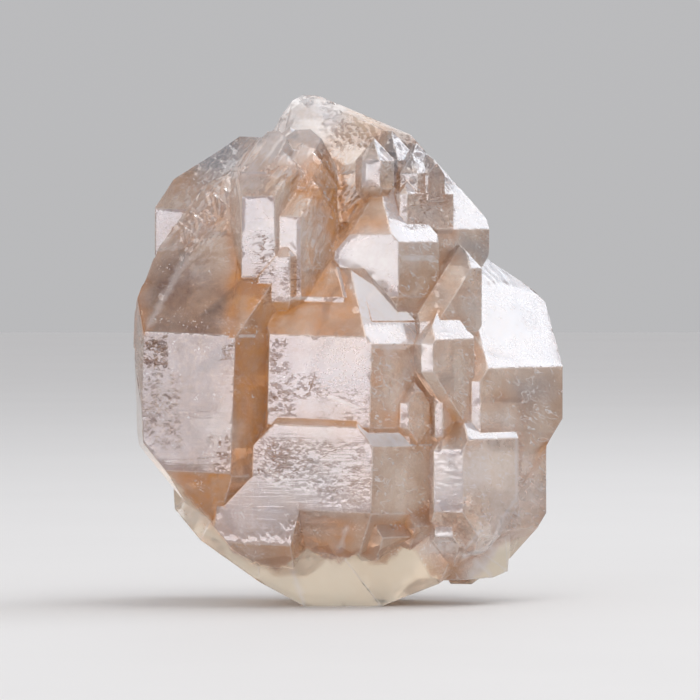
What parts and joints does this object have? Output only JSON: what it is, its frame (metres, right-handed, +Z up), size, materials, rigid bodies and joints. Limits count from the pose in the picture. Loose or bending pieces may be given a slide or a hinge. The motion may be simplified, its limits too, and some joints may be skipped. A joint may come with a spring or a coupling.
{
  "type": "elestial quartz crystal",
  "caption": "Loose smoky quartz of the elestial habit: blocky crystals grown together in one orientation, with stepped faces and a broken pale root.",
  "frame": {"origin": "under the middle of the bounding box, at the height of the flat foot of the root", "axes": "+Z up along the crystals' long axis, -Y towards the pictured side, +X to its right"},
  "size_m": [0.0864, 0.0532, 0.1027],
  "materials": {
    "quartz": "natural crystal faces, glassy, see-through brownish grey with a pale cream root"
  },
  "bodies": {
    "root": {"crystal": "quartz"}
  },
  "joints": []
}
